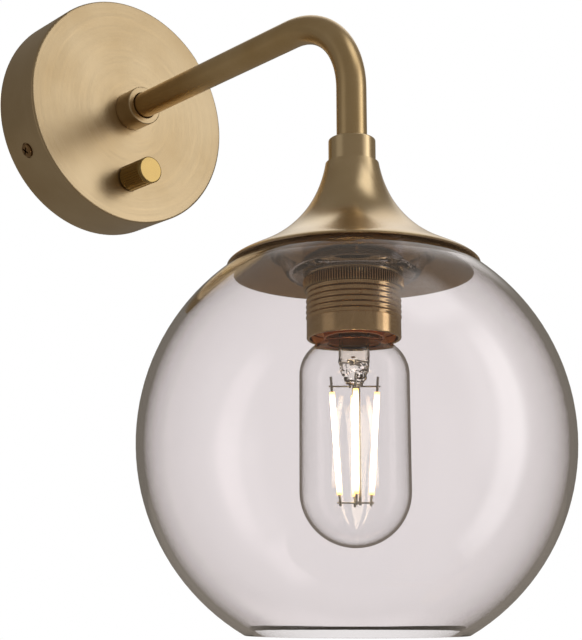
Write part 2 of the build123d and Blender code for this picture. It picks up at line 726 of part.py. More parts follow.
# ---------------------------------------------------------------- bell
def bell_curve(inset):
    """Trumpet curve from the neck to the rim, moved in by the wall along the curve's normals."""
    rim_z = GLOBE_Z + sqrt((GLOBE_R + BELL_GLASS_GAP) ** 2 - BELL_RIM_R ** 2)
    neck = Vector(BELL_NECK_R, BELL_TOP)
    rim = Vector(BELL_RIM_R, rim_z)
    pole = [neck, neck + Vector(*BELL_NECK_PULL), rim + Vector(*BELL_RIM_PULL), rim]
    moved = []
    for index, point in enumerate(pole):
        before = pole[max(index - 1, 0)]
        after = pole[min(index + 1, 3)]
        run = (after - before).normalized()
        normal = Vector(run.Y, -run.X)
        shifted = point + normal * inset
        moved.append((shifted.X, 0, shifted.Y))
    return Bezier(*moved)


def bell():
    outer = bell_curve(0)
    inner = bell_curve(BELL_WALL)
    top_in = Vector(0, 0, BELL_TOP)
    floor = Vector(0, 0, BELL_TOP - BELL_WALL)
    start = inner @ 0
    ledge = Vector(start.X, 0, floor.Z)
    outer_face = make_face([
        outer, Line(outer @ 1, (0, 0, (outer @ 1).Z)), Line((0, 0, (outer @ 1).Z), top_in),
        Line(top_in, outer @ 0),
    ])
    inner_low = (inner @ 1).Z - 1.0
    inner_face = make_face([
        inner, Line(inner @ 1, (0, 0, inner_low)), Line((0, 0, inner_low), (0, 0, start.Z)),
        Line((0, 0, start.Z), start),
    ])
    shell = revolve(outer_face, Axis.Z) - revolve(inner_face, Axis.Z)
    top = rod(ledge.X, floor.Z, BELL_TOP)
    return shell + top - rod(NIPPLE_R + CLEAR, floor.Z, BELL_TOP)


# ---------------------------------------------------------------- lampholder
def holder_cap():
    shoulder = CAP_BOSS_H + CAP_SHOULDER
    top = CAP_TOP
    body = turned([
        (NIPPLE_R + CLEAR, top, 0), (CAP_BOSS_R, top, 0.6),
        (CAP_BOSS_R, top - CAP_BOSS_H + 1.5, 1.0), (CAP_R, top - shoulder, 2.0),
        (CAP_R, SEAT, 0.4), (HOLDER_THREAD_R + 2 * CLEAR, SEAT, 0),
        (HOLDER_THREAD_R + 2 * CLEAR, top - shoulder - CAP_WALL, 0),
        (CAP_BOSS_R, top - CAP_BOSS_H, 0), (NIPPLE_R + CLEAR, top - CAP_BOSS_H, 0),
    ])
    slit = block(CAP_R, CAP_SLIT, SEAT, SEAT + CAP_SLIT_H, CAP_R, 0)
    return body - Rot(0, 0, CAP_SLIT_ANGLE) * slit


def holder_sleeve():
    ridge_low = HOLDER_BOTTOM + HOLDER_SKIRT
    ridges = thread_points(HOLDER_THREAD_R, HOLDER_THREAD_DEPTH, HOLDER_PITCH, ridge_low, HOLDER_TOP)
    body = turned([
        (HOLDER_BORE_R, HOLDER_BOTTOM, 0.4), (HOLDER_SKIRT_R, HOLDER_BOTTOM, 0.6),
        (HOLDER_SKIRT_R, ridge_low, 0.2), *ridges,
        (HOLDER_ROOT_R, HOLDER_TOP, 0), (HOLDER_BORE_R, HOLDER_TOP, 0),
    ])
    dimple = Pos(HOLDER_THREAD_R, 0, SEAT - SLEEVE_DIMPLE_DROP) * Sphere(SLEEVE_DIMPLE_R)
    return body - Rot(0, 0, DIMPLE_ANGLE) * dimple


def holder_core():
    outer = HOLDER_BORE_R - 2 * CLEAR
    floor_top = CORE_CEILING + CORE_FLOOR
    body = turned([
        (SHELL_R + SHELL_WALL + CLEAR, CORE_BOTTOM, 0), (outer, CORE_BOTTOM, 0), (outer, HOLDER_TOP, 0),
        (HOLDER_ROOT_R, HOLDER_TOP, 0), (HOLDER_ROOT_R, HOLDER_TOP + CORE_RISE, 0.4),
        (CORE_POCKET_R, HOLDER_TOP + CORE_RISE, 0),
        (CORE_POCKET_R, floor_top, 0), (0, floor_top, 0), (0, CORE_CEILING, 0),
        (SHELL_R + SHELL_WALL + CLEAR, CORE_CEILING, 0),
    ])
    return body - rod(RIVET_R + CLEAR, CORE_CEILING, floor_top)


def holder_shell():
    """Copper-coloured screw shell with the rim that shows inside the sleeve."""
    return turned([
        (SHELL_R, CORE_BOTTOM - SHELL_RIM_T, 0.3), (SHELL_RIM_R, CORE_BOTTOM - SHELL_RIM_T, 0.3),
        (SHELL_RIM_R, CORE_BOTTOM, 0), (SHELL_R + SHELL_WALL, CORE_BOTTOM, 0),
        (SHELL_R + SHELL_WALL, LAMP_TOP - SHELL_TOP_GAP, 0), (SHELL_R, LAMP_TOP - SHELL_TOP_GAP, 0),
    ])


def centre_contact():
    """Button that meets the lamp's tip, on a rivet through the core's floor."""
    low = LAMP_TOP + CLEAR
    return rod(CONTACT_R, low, CORE_CEILING) + rod(RIVET_R, CORE_CEILING, CORE_CEILING + CORE_FLOOR)


def holder_terminals():
    width, depth, height = TERMINAL_SIZE
    low = CORE_CEILING + CORE_FLOOR
    parts = [block(width, depth, low, low + height, side * TERMINAL_SIDE, 0) for side in (-1, 1)]
    return parts + [block(EARTH_LUG_SIDE, EARTH_LUG_SIDE, low, TERMINAL_TOP + EARTH_LUG_H, 0, EARTH_PLACE)]


def shade_ring():
    """Knurled ring: a toothed outline under a chamfered blank."""
    low = RING_TOP - RING_H
    points = []
    for index in range(2 * RING_TEETH):
        radius = RING_R - RING_TOOTH * (index % 2)
        angle = radians(180 * index / RING_TEETH)
        points.append((radius * cos(angle), radius * sin(angle)))
    toothed = Pos(0, 0, low) * extrude(make_face(Polyline(*points, close=True)), RING_H)
    bore = HOLDER_THREAD_R
    face = RING_R - RING_EDGE
    over = RING_R + RING_EDGE / 4
    blank = turned([
        (bore, low, RING_EDGE / 2), (face, low, 0), (over, low + over - face, 0),
        (over, RING_TOP - over + face, 0), (face, RING_TOP, 0), (bore, RING_TOP, RING_EDGE / 2),
    ])
    return toothed & blank


def shade_washers():
    inner = HOLDER_THREAD_R + FREE
    top = SEAT - FREE / 3
    upper = tube(WASHER_R, inner, top - WASHER_T, top)
    lower = tube(WASHER_R, inner, RING_TOP, RING_TOP + WASHER_T)
    return [upper, lower]


# ---------------------------------------------------------------- glass globe
def sphere_height(radius, ball):
    return sqrt(ball ** 2 - radius ** 2)


def nearest_corner(face, radius, height):
    return min(face.vertices(), key=lambda corner: hypot(corner.X - radius, corner.Z - height))


def glass_globe():
    """Ball with an open mouth below and, at the top, a funnel down to the flat lip that is clamped."""
    inner_r = GLOBE_R - GLOBE_WALL
    mouth_z = GLOBE_Z - sphere_height(GLOBE_MOUTH_R, GLOBE_R)
    lip_top = SEAT - FREE / 3 - WASHER_T
    lip_low = lip_top - GLOBE_WALL
    hole_r = HOLDER_THREAD_R + GLOBE_LIP_GAP
    fold = Vector(GLOBE_FOLD_R, GLOBE_Z + sphere_height(GLOBE_FOLD_R, GLOBE_R))
    lip = Vector(GLOBE_LIP_R, lip_top)
    run = (fold - lip).normalized()
    inward = Vector(run.Y, -run.X)
    anchor = lip + inward * GLOBE_WALL
    lip_inner = anchor + run * ((lip_low - anchor.Y) / run.Y)
    centre = Vector(0, GLOBE_Z)
    toward = (anchor - centre).dot(run)
    reach = -toward + sqrt(toward ** 2 - (anchor - centre).length ** 2 + inner_r ** 2)
    fold_inner = anchor + run * reach
    mouth_inner = sqrt(inner_r ** 2 - (GLOBE_Z - mouth_z) ** 2)

    def flat(radius, height):
        return Vector(radius, 0, height)

    outline = [
        ThreePointArc(flat(GLOBE_MOUTH_R, mouth_z), flat(GLOBE_R, GLOBE_Z), flat(fold.X, fold.Y)),
        Line(flat(fold.X, fold.Y), flat(lip.X, lip.Y)),
        Line(flat(lip.X, lip.Y), flat(hole_r, lip_top)),
        Line(flat(hole_r, lip_top), flat(hole_r, lip_low)),
        Line(flat(hole_r, lip_low), flat(lip_inner.X, lip_low)),
        Line(flat(lip_inner.X, lip_low), flat(fold_inner.X, fold_inner.Y)),
        ThreePointArc(flat(fold_inner.X, fold_inner.Y), flat(inner_r, GLOBE_Z), flat(mouth_inner, mouth_z)),
        Line(flat(mouth_inner, mouth_z), flat(GLOBE_MOUTH_R, mouth_z)),
    ]
    face = make_face(outline)
    rounds = [
        (fold.X, fold.Y, GLOBE_FOLD_ROUND), (fold_inner.X, fold_inner.Y, GLOBE_FOLD_ROUND / 2),
        (lip.X, lip.Y, GLOBE_FOLD_ROUND / 4), (lip_inner.X, lip_low, GLOBE_FOLD_ROUND),
        (hole_r, lip_top, GLOBE_LIP_ROUND), (hole_r, lip_low, GLOBE_LIP_ROUND),
        (GLOBE_MOUTH_R, mouth_z, GLOBE_RIM_ROUND), (mouth_inner, mouth_z, GLOBE_RIM_ROUND),
    ]
    for radius, height, rounding in rounds:
        face = fillet(nearest_corner(face, radius, height), rounding)
    return revolve(face, Axis.Z)


# ---------------------------------------------------------------- lamp
def lamp_outline(inset):
    """Half outline of the lamp's glass, as edges from the neck's top to the bottom pole."""
    radius = LAMP_R - inset
    neck = LAMP_NECK_R - inset
    shoulder = LAMP_SHOULDER - inset
    shoulder_z = LAMP_CAP_BOTTOM - LAMP_SHOULDER - LAMP_NECK_GAP
    ball_z = LAMP_BOTTOM + LAMP_R
    centre_r = LAMP_R - LAMP_SHOULDER
    neck_z = shoulder_z + sqrt(shoulder ** 2 - (neck - centre_r) ** 2)
    top = LAMP_CAP_BOTTOM + LAMP_NECK_RISE
    middle = radians(45)
    half = Vector(centre_r + shoulder * cos(middle), 0, shoulder_z + shoulder * sin(middle))
    low = Vector(radius * cos(middle), 0, ball_z - radius * sin(middle))
    return [
        Line((neck, 0, top), (neck, 0, neck_z)),
        ThreePointArc((neck, 0, neck_z), half, (radius, 0, shoulder_z)),
        Line((radius, 0, shoulder_z), (radius, 0, ball_z)),
        ThreePointArc((radius, 0, ball_z), low, (0, 0, ball_z - radius)),
    ]


def lamp_envelope():
    outer = lamp_outline(0)
    inner = lamp_outline(LAMP_WALL)
    closing = [Line(outer[-1] @ 1, inner[-1] @ 1), Line(inner[0] @ 0, outer[0] @ 0)]
    return revolve(make_face(outer + inner + closing), Axis.Z)


def lamp_cap():
    low = LAMP_CAP_BOTTOM
    high = LAMP_TOP - LAMP_INSULATOR_H
    ridges = thread_points(LAMP_CAP_R, LAMP_CAP_DEPTH, LAMP_CAP_PITCH, low + 2.0, high)
    root = LAMP_CAP_R - LAMP_CAP_DEPTH
    return turned([
        (LAMP_CAP_BORE_R, low, 0), (root + 0.4, low, 0.2), (root, low + 1.5, 0), *ridges,
        (root, high, 0), (LAMP_CAP_END_R, high, 0), (LAMP_CAP_END_R, high - LAMP_CAP_END_T, 0),
        (LAMP_CAP_BORE_R, high - LAMP_CAP_END_T, 0),
    ])


def lamp_insulator():
    """Glass plug that grips the cap's turned-in end from both sides."""
    low = LAMP_TOP - LAMP_INSULATOR_H
    high = LAMP_TOP - LAMP_TIP_H
    under = low - LAMP_CAP_END_T - CLEAR
    return turned([
        (0, under - 1.0, 0), (LAMP_CAP_BORE_R - CLEAR, under - 1.0, 0), (LAMP_CAP_BORE_R - CLEAR, under, 0),
        (LAMP_CAP_END_R - CLEAR, under, 0), (LAMP_CAP_END_R - CLEAR, low, 0),
        (LAMP_CAP_BORE_R + 0.4, low, 0), (LAMP_CAP_BORE_R + 0.4, low + 0.8, 0.3),
        (LAMP_TIP_R + 0.6, high, 0.4),
        (0, high, 0),
    ])


def lamp_tip():
    return turned([
        (0, LAMP_TOP - LAMP_TIP_H, 0), (LAMP_TIP_R, LAMP_TOP - LAMP_TIP_H, 0), (LAMP_TIP_R, LAMP_TOP, 0.6),
        (0, LAMP_TOP, 0),
    ])


def lamp_driver():
    """Small board in the cap that feeds the filaments."""
    low = LAMP_CAP_BOTTOM + LAMP_NECK_RISE + 0.5
    high = LAMP_TOP - LAMP_INSULATOR_H - LAMP_CAP_END_T - 1.3
    return block(*DRIVER_SIZE, low, high)


def stem_top():
    return LAMP_CAP_BOTTOM + LAMP_NECK_RISE


def pinch_top():
    return LAMP_CAP_BOTTOM - STEM_LENGTH + PINCH_SIZE[2] / 2


def lamp_stem():
    """Glass stem: flare sealed to the neck, tube, and the pinch that grips the wires."""
    top = stem_top()
    low = pinch_top()
    neck = LAMP_NECK_R - LAMP_WALL - CLEAR
    body = turned([
        (STEM_R - STEM_WALL, top, 0), (neck, top, 0), (neck, top - 2.0, 1.0), (STEM_R, top - STEM_FLARE, 3.0),
        (STEM_R, low, 1.5), (0, low, 0), (0, low + STEM_WALL, 0), (STEM_R - STEM_WALL, low + STEM_WALL, 0.8),
    ])
    width, depth, height = PINCH_SIZE
    pinch = block(width, depth, low - height, low + 0.5)
    pinch = fillet(pinch.edges().filter_by(Axis.Z), 2.0)
    return body + pinch


def filament_line(index):
    """Top and foot of one filament."""
    angle = radians(90 * index)
    top_z = pinch_top() - PINCH_SIZE[2] - FILAMENT_TAB
    top = Vector(FILAMENT_TOP_R * cos(angle), FILAMENT_TOP_R * sin(angle), top_z)
    foot = Vector(FILAMENT_FOOT_R * cos(angle), FILAMENT_FOOT_R * sin(angle), top_z - FILAMENT_LENGTH)
    return top, foot


def lamp_filaments():
    return [rod_between(*filament_line(index), FILAMENT_R) for index in range(4)]


def cross_wire(end, slant, hub):
    """Wire from a rod to just past the line of a filament's tab, at the hub's height."""
    crossing = end + slant * ((hub.Z - end.Z) / slant.Z)
    past = (crossing - hub).normalized() * WIRE_END
    return rod_between(hub, crossing + past, WIRE_R)


def lamp_wires():
    """Rod, cross wires and the metal tabs at the filaments' ends; the second pole stands apart."""
    pinch_low = pinch_top() - PINCH_SIZE[2]
    top_z = pinch_low - WIRE_DROP
    foot_z = filament_line(0)[1].Z - FILAMENT_TAB
    frame = rod(ROD_R, foot_z - 1.0, pinch_low, ROD_SIDE, 0)
    frame += rod(ROD_R, top_z - 0.6, pinch_low, -ROD_SIDE, 0)
    for index in range(4):
        top, foot = filament_line(index)
        slant = (top - foot).normalized()
        upper = top + slant * (2 * FILAMENT_TAB)
        lower = foot - slant * (1.4 * FILAMENT_TAB)
        frame += rod_between(top, upper, 1.5 * WIRE_R)
        frame += rod_between(lower, foot, 1.5 * WIRE_R)
        hub_side = -ROD_SIDE if index == 2 else ROD_SIDE
        frame += cross_wire(top, slant, Vector(hub_side, 0, top_z))
        frame += cross_wire(foot, slant, Vector(ROD_SIDE, 0, foot_z))
    return frame


# ---------------------------------------------------------------- assembly
WALL_PIECES = {
    "wall_cover": wall_cover,
    "wall_bracket": wall_bracket,
    "bracket_tabs": bracket_tabs,
    "cover_screws": cover_screws,
    "cable_grommet": cable_grommet,
    "earth_screw": earth_screw,
    "earth_tag": earth_tag,
    "terminal_block": terminal_block,
    "terminal_barrels": terminal_barrels,
    "terminal_screws": terminal_screws,
    "terminal_fixing_screw": terminal_fixing_screw,
    "dimmer_case": dimmer_case,
    "dimmer_lid": dimmer_lid,
    "dimmer_board": dimmer_board,
    "dimmer_tags": dimmer_tags,
    "dimmer_bush": dimmer_bush,
    "dimmer_washer": dimmer_washer,
    "dimmer_nut": dimmer_nut,
    "dimmer_shaft": dimmer_shaft,
    "dimmer_knob": dimmer_knob,
    "arm_collar": lambda: collar(COVER_DEPTH, COVER_DEPTH + WALL_COLLAR_LENGTH),
    "arm_nipple": arm_nipple,
    "arm_washer": arm_washer,
    "arm_nut": arm_nut,
}
ROUTED_PIECES = {
    "arm_tube": arm_tube,
    "live_lead": live_lead,
    "neutral_lead": neutral_lead,
    "switched_lead": switched_lead,
    "earth_lead": earth_lead,
}
DROP_PIECES = {
    "end_collar": lambda: collar(-ARM_DROP, COLLAR_TOP),
    "end_nipple": end_nipple,
    "bell": bell,
    "bell_nut": bell_nut,
    "holder_cap": holder_cap,
    "holder_sleeve": holder_sleeve,
    "holder_core": holder_core,
    "holder_shell": holder_shell,
    "centre_contact": centre_contact,
    "holder_terminals": holder_terminals,
    "shade_ring": shade_ring,
    "shade_washers": shade_washers,
    "glass_globe": glass_globe,
}
LAMP_PIECES = {
    "lamp_envelope": lamp_envelope,
    "lamp_cap": lamp_cap,
    "lamp_insulator": lamp_insulator,
    "lamp_tip": lamp_tip,
    "lamp_driver": lamp_driver,
    "lamp_stem": lamp_stem,
    "lamp_filaments": lamp_filaments,
    "lamp_wires": lamp_wires,
}


def placed(shape, place):
    """Put one solid, or a list of separate solids, where it belongs."""
    if isinstance(shape, list):
        return Compound(children=[place(solid) for solid in shape])
    return place(shape)


def write_all(pieces, place):
    for name, make in pieces.items():
        export_step(placed(make(), place), f"parts/{name}.step")


os.makedirs("parts", exist_ok=True)
write_all(WALL_PIECES, on_wall)
write_all(ROUTED_PIECES, lambda shape: shape)
write_all(DROP_PIECES, on_drop)
write_all(LAMP_PIECES, lambda shape: on_drop(Rot(0, 0, LAMP_TURN) * shape))
print("bend radius over tube diameter:", BEND_R / (2 * TUBE_R))
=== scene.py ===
"""Studio view of the globe wall sconce: finishes, glass, lit lamp, soft light and camera.

Everything is in metres in the model's own frame: the wall is y = 0 and the arm leaves it along -Y.
"""
from math import cos, pi, radians, sin

import bmesh
import bpy
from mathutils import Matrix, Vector, noise

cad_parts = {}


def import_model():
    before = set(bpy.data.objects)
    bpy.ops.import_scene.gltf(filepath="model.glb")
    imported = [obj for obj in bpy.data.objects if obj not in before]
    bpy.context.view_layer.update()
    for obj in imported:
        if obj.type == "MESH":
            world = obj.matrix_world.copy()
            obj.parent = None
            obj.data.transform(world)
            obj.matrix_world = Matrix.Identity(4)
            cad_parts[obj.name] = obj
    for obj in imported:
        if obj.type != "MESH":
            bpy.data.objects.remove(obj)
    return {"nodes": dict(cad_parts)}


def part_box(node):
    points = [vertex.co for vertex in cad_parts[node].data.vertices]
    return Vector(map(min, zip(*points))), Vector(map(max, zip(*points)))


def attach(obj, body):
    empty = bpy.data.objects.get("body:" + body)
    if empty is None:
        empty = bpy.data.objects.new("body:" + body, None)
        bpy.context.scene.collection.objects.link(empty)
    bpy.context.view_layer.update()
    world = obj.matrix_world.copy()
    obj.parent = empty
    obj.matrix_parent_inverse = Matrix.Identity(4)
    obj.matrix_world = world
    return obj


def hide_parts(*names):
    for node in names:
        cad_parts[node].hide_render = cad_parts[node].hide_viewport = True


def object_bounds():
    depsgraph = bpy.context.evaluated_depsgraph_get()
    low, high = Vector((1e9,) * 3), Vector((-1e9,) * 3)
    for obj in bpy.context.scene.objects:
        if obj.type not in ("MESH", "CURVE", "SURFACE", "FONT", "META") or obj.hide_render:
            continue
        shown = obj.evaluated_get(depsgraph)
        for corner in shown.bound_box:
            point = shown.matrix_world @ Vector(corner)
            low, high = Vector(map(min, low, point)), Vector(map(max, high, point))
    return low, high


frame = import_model()
cad_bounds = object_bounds()
nodes = frame["nodes"]
scene = bpy.context.scene

# ---------------------------------------------------------------- sizes
MM = 0.001

arm_low, arm_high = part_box("arm_tube")
TUBE_R = (arm_high[0] - arm_low[0]) / 2
DROP_Y = arm_low[1] + TUBE_R     # bell, globe and lamp are round the upright line x = 0, y = DROP_Y
RING_TEETH = 118                 # teeth of the shade ring's knurled edge

STEM_RINGS = 60                  # rings of vertices from the stem's top to its foot
STEM_SIDES = 48                  # vertices in a ring
STEM_R = 6.4 * MM
STEM_WALL = 0.8 * MM
STEM_FLARE = 8.0 * MM            # height over which the stem widens to its flared top
STEM_PINCH = 12.0 * MM           # height over which it is squeezed round the wires
STEM_NARROWS = 0.30              # share of its width that the pinch takes away
STEM_FLATTENS = 0.62             # share of its depth that the pinch takes away
STEM_CLOSES = 0.25               # share of the pinch at which the bore ends and the dents are full
STEM_DENT = 1.7 * MM             # size of the dents
STEM_CRUMPLE = 1.3 * MM          # depth of the dents

# ---------------------------------------------------------------- camera and studio
IMAGE_HEIGHT_PX = 640
FOCAL_PX = 1293.5
CAMERA_AT = Vector((-0.36679, -0.56618, -0.25474))
CAMERA_AZIMUTH = radians(-41.89)
CAMERA_ELEVATION = radians(-12.45)
SENSOR_HEIGHT = 24.0             # in the camera's own unit, millimetres
NEAR_CLIP = 10 * MM

WHITE = (1.0, 1.0, 1.0, 1.0)
FLOOR_DROP = 1.2                 # from the model's lowest point down to the floor
FLOOR_SIZE = 60.0
FLOOR_LIT = (0.4, 1.5)           # the floor passes from lit to plain white between these distances
FLOOR_DARK = (0.90, 0.90, 0.90, 1.0)
FLOOR_LIGHT = (0.94, 0.94, 0.94, 1.0)
STUDIO_WARM = (1.0, 0.89, 0.75, 1.0)
STUDIO_BACK = 0.19               # level of the reflected studio on the wall's side
STUDIO_FRONT = 0.24              # and on the open side and the floor
STUDIO_FILL = 0.6                # level of the world as a light on the object
SOFTBOX_EDGE = 0.32              # share of a softbox over which each edge fades out
SOFTBOX_TARGET = Vector((0.0, -0.15, -0.12))

# name, direction seen from the target, distance, width, height, radiance, colour
SOFTBOXES = (
    ("key_softbox", (0.53, -0.85, 0.30), 1.30, 1.20, 2.20, 0.60, (1.0, 0.99, 0.98)),
    ("strip_softbox", (0.60, -0.80, -0.05), 1.28, 0.55, 3.20, 1.20, (1.0, 0.99, 0.98)),
    ("left_softbox", (-0.957, 0.291, 0.10), 1.20, 1.00, 1.80, 0.18, (1.0, 0.98, 0.95)),
    ("high_softbox", (0.181, -0.498, 0.848), 1.30, 1.00, 0.80, 1.10, (1.0, 1.0, 1.0)),
    ("top_softbox", (0.6, 0.5, 0.8), 1.30, 1.20, 1.20, 0.90, (1.0, 1.0, 1.0)),
)

# ---------------------------------------------------------------- node helpers
MIX_FACTOR, MIX_FIRST, MIX_SECOND = 0, 6, 7     # inputs of a mix node that is set to colours
MIX_RESULT = 2                                  # and its output
NOISE_RANGE = (0.3, 0.7)                        # a noise's values seldom leave this range
NO_REFLECTION = 0.5                             # glossy depth counts reflections: 0 is under this, 1 over it


class Graph:
    """Short way to build the nodes of a material, a world or a lamp."""

    def __init__(self, owner, output):
        owner.use_nodes = True
        self.owner = owner
        self.tree = owner.node_tree
        self.tree.nodes.clear()
        self.out = self.add(output)

    def feed(self, socket, value):
        """Link an input to an output, or give it a number or a colour."""
        if isinstance(value, bpy.types.NodeSocket):
            self.tree.links.new(value, socket)
        else:
            socket.default_value = value

    def add(self, kind, **inputs):
        """New node with its named inputs linked or set."""
        node = self.tree.nodes.new("ShaderNode" + kind)
        for name, value in inputs.items():
            self.feed(node.inputs[name.replace("_", " ")], value)
        return node

    def math(self, operation, *values):
        node = self.add("Math")
        node.operation = operation
        for socket, value in zip(node.inputs, values):
            self.feed(socket, value)
        return node.outputs[0]

    def length(self, first, second):
        """Length of a line that runs first one way and second at right angles to it."""
        squares = [self.math("MULTIPLY", side, side) for side in (first, second)]
        return self.math("SQRT", self.math("ADD", *squares))

    def spread(self, value, low, high, from_low=0.0, from_high=1.0, way="LINEAR"):
        """Map from_low to from_high onto low to high, clamped."""
        span = {"From_Min": from_low, "From_Max": from_high, "To_Min": low, "To_Max": high}
        node = self.add("MapRange", Value=value, **span)
        node.interpolation_type = way
        return node.outputs[0]

    def vary(self, pattern, middle, below, above):
        """Number that follows a noise, from a share below to a share above its middle value."""
        return self.spread(pattern, middle * below, middle * above, *NOISE_RANGE)

    def blend(self, factor, first, second):
        """Colour between first and second."""
        node = self.add("Mix")
        node.data_type = "RGBA"
        self.feed(node.inputs[MIX_FACTOR], factor)
        self.feed(node.inputs[MIX_FIRST], first)
        self.feed(node.inputs[MIX_SECOND], second)
        return node.outputs[MIX_RESULT]

    def place(self):
        """Object coordinates."""
        return self.add("TexCoord").outputs["Object"]

    def split(self, vector):
        """The three parts of a vector."""
        return self.add("SeparateXYZ", Vector=vector).outputs

    def noise(self, vector, scale, detail, roughness, distortion=0.0):
        node = self.add("TexNoise", Vector=vector, Scale=scale, Detail=detail, Roughness=roughness,
                        Distortion=distortion)
        return node.outputs["Fac"]

    def bump(self, height, strength, distance):
        return self.add("Bump", Height=height, Strength=strength, Distance=distance).outputs[0]

    def mix(self, factor, first, second):
        """Shader between first and second."""
        node = self.add("MixShader")
        for socket, value in zip(node.inputs, (factor, first.outputs[0], second.outputs[0])):
            self.feed(socket, value)
        return node

    def finish(self, shader):
        """Use the shader and return what the graph belongs to."""
        self.feed(self.out.inputs["Surface"], shader.outputs[0])
        return self.owner


def material_graph(name):
    return Graph(bpy.data.materials.new(name), "OutputMaterial")


def colour(red, green, blue):
    """Scene-linear colour from display values of 0 to 255."""
    def linear(value):
        value /= 255
        return value / 12.92 if value <= 0.04045 else ((value + 0.055) / 1.055) ** 2.4
    return (linear(red), linear(green), linear(blue), 1.0)


def dimmed(tint, share):
    """The same colour at a share of its brightness."""
    return tuple(value * share for value in tint[:3]) + (1.0,)


# ---------------------------------------------------------------- metals
BRUSH_SCALE = 2600               # scale of the brushing across a turned piece
BRUSH_ROUND = 1.1                # and round it, per radian
BRUSH_DEPTH = 0.12 * MM
SCRATCH_SCALE = 2500
SCRATCH_ROUND = 4
SCRATCH_DEPTH = 0.05 * MM
TONE_RANGE = (0.35, 0.65)        # two noises added up stay closer to a half than one
GROOVE_SHADE_RANGE = (-0.5, 0.6)       # a tooth's wave, from the painted shade in its groove to the brass's own tone on its tip


def metal(graph, base, roughness, **relief):
    """Finish a graph as metal."""
    shader = graph.add("BsdfPrincipled", Base_Color=base, Metallic=1.0, Roughness=roughness, **relief)
    return graph.finish(shader)


def turning_vector(graph, axis, scale, round_scale):
    """Coordinates that follow a turned piece, so that a noise in them runs round its axis."""
    x, y, z = graph.split(graph.place())
    if axis == "wall":
        side, up, height = x, z, y
    else:
        side, up, height = x, graph.math("SUBTRACT", y, DROP_Y), z
    angle = graph.math("ARCTAN2", side, graph.math("MULTIPLY", up, -1.0))
    return graph.add(
        "CombineXYZ",
        X=graph.math("MULTIPLY", graph.length(side, up), scale),
        Y=graph.math("MULTIPLY", height, scale),
        Z=graph.math("MULTIPLY", angle, round_scale),
    ).outputs[0]


def satin_brass(name, axis, light, dark, roughness, streak, ridge):
    """Turned brass, brushed in fine circles.

    streak is the circles' share of the tone, and ridge is how rough they are.
    """
    graph = material_graph(name)
    follow = turning_vector(graph, axis, BRUSH_SCALE, BRUSH_ROUND)
    lines = graph.noise(follow, scale=1.0, detail=3.0, roughness=0.7)
    clouds = graph.noise(graph.place(), scale=28, detail=3.0, roughness=0.5)
    shares = graph.math("MULTIPLY", lines, streak), graph.math("MULTIPLY", clouds, 1 - streak)
    tone = graph.spread(graph.math("ADD", *shares), 0.0, 1.0, *TONE_RANGE)
    rough = graph.spread(lines, roughness - ridge / 2, roughness + ridge / 2, *NOISE_RANGE)
    relief = graph.bump(lines, strength=ridge, distance=BRUSH_DEPTH)
    return metal(graph, graph.blend(tone, dark, light), rough, Normal=relief)


def smears_on(graph):
    """Soft smears on bright brass."""
    return graph.noise(graph.place(), scale=60, detail=4.0, roughness=0.6, distortion=0.5)


def polished_brass(name, light, dark, roughness):
    """Bright brass with light smears and pin-fine scratches."""
    graph = material_graph(name)
    smears = smears_on(graph)
    follow = turning_vector(graph, "drop", SCRATCH_SCALE, SCRATCH_ROUND)
    scratches = graph.noise(follow, scale=1.0, detail=2.0, roughness=0.5)
    relief = graph.bump(scratches, strength=0.05, distance=SCRATCH_DEPTH)
    rough = graph.vary(smears, roughness, below=0.7, above=1.5)
    return metal(graph, graph.blend(smears, dark, light), rough, Normal=relief)


def knurled_brass(name, light, dark, roughness):
    """Bright brass with painted shade in the grooves between the teeth of the ring's edge."""
    graph = material_graph(name)
    x, y, _ = graph.split(graph.place())
    angle = graph.math("ARCTAN2", graph.math("SUBTRACT", y, DROP_Y), x)
    wave = graph.math("COSINE", graph.math("MULTIPLY", angle, RING_TEETH))
    # painted shade: the colour is darkened in each groove by the angle round the ring, not by the lamps
    tips = graph.spread(wave, 0.0, 1.0, *GROOVE_SHADE_RANGE)
    rough = graph.vary(smears_on(graph), roughness, below=0.8, above=1.3)
    return metal(graph, graph.blend(tips, dark, light), rough)


def plain_metal(name, tint, roughness, grain):
    """Plated or drawn metal with a fine grain."""
    graph = material_graph(name)
    grains = graph.noise(graph.place(), scale=grain, detail=3.0, roughness=0.6)
    base = graph.blend(grains, dimmed(tint, share=0.8), tint)
    rough = graph.vary(grains, roughness, below=0.8, above=1.25)
    return metal(graph, base, rough, Normal=graph.bump(grains, strength=0.1, distance=SCRATCH_DEPTH))


# ---------------------------------------------------------------- plastics, rubber and ceramic
MOULD_DEPTH = 0.03 * MM


def moulded(name, tint, roughness):
    """Moulded material with a faint surface grain."""
    graph = material_graph(name)
    place = graph.place()
    grains = graph.noise(place, scale=900, detail=2.0, roughness=0.5)
    patches = graph.noise(place, scale=70, detail=2.0, roughness=0.5)
    return graph.finish(graph.add(
        "BsdfPrincipled",
        Base_Color=graph.blend(patches, dimmed(tint, share=0.86), tint),
        Roughness=graph.vary(grains, roughness, below=0.85, above=1.15),
        Normal=graph.bump(grains, strength=0.2, distance=MOULD_DEPTH),
    ))


def clear_film(name, tint, roughness, cover):
    """Thin clear plastic that hides only a share of what is behind it."""
    graph = material_graph(name)
    grains = graph.noise(graph.place(), scale=500, detail=2.0, roughness=0.5)
    return graph.finish(graph.add(
        "BsdfPrincipled",
        Base_Color=graph.blend(grains, dimmed(tint, share=0.9), tint),
        Roughness=graph.vary(grains, roughness, below=0.8, above=1.2),
        Alpha=cover,
    ))


